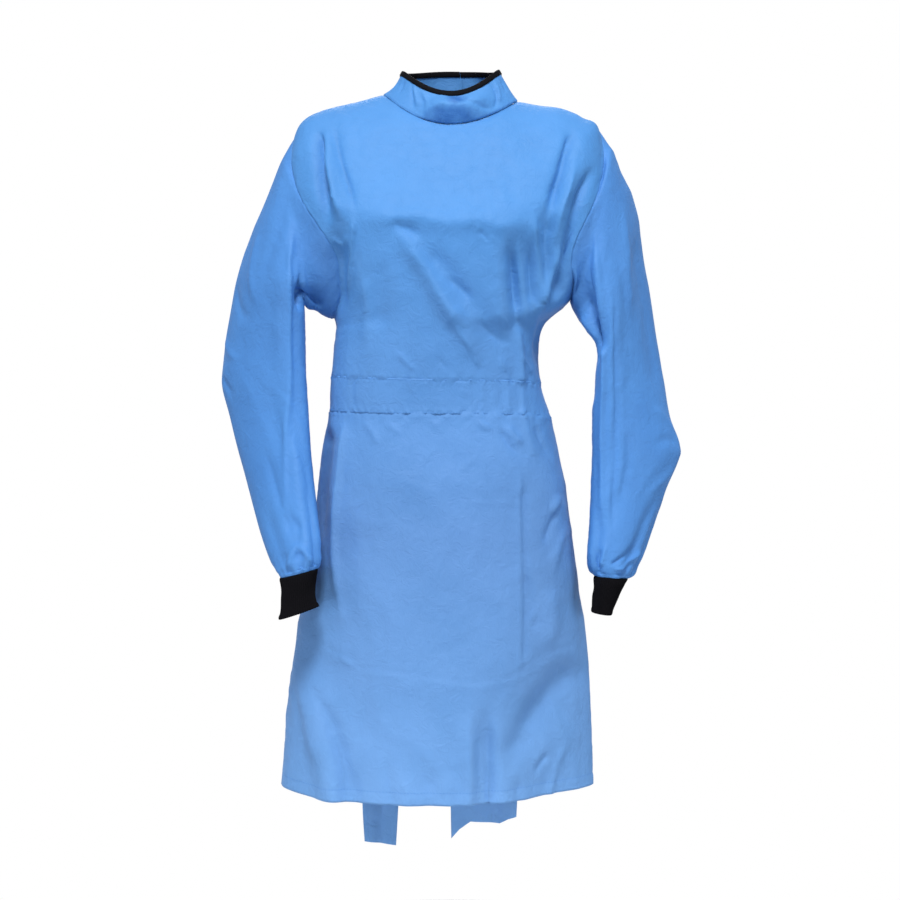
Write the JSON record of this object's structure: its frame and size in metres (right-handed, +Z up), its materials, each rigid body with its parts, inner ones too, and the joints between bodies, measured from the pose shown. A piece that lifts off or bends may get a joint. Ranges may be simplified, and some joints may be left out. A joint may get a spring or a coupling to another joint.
{
  "type": "surgical gown",
  "caption": "Long-sleeved blue surgical gown in its worn form, with a stand collar, black knit cuffs and a belt tied at the back.",
  "frame": {"origin": "middle of the neck seam, level with the points where collar and shoulders meet", "axes": "+Z up, the gown's front faces -Y, +X is on the right of someone who faces the gown"},
  "size_m": [0.6494, 0.3074, 1.1255],
  "materials": {
    "gown_cloth": "fine plain weave with a slight satin sheen",
    "black_knit": "ribbed knit, matt",
    "black_trim": "woven tape, matt"
  },
  "bodies": {
    "root": {"front_panel": "gown_cloth", "back_panel_under": "gown_cloth", "back_panel_over": "gown_cloth", "sleeve_left": "gown_cloth", "sleeve_right": "gown_cloth", "collar": "gown_cloth", "belt_front": "gown_cloth", "belt_back_left": "gown_cloth", "belt_back_right": "gown_cloth", "belt_end_left": "gown_cloth", "belt_end_right": "gown_cloth", "belt_knot": "gown_cloth", "cuff_left": "black_knit", "cuff_right": "black_knit", "collar_binding": "black_trim", "neck_tape_under": "black_trim", "neck_tape_over": "black_trim"}
  },
  "joints": []
}
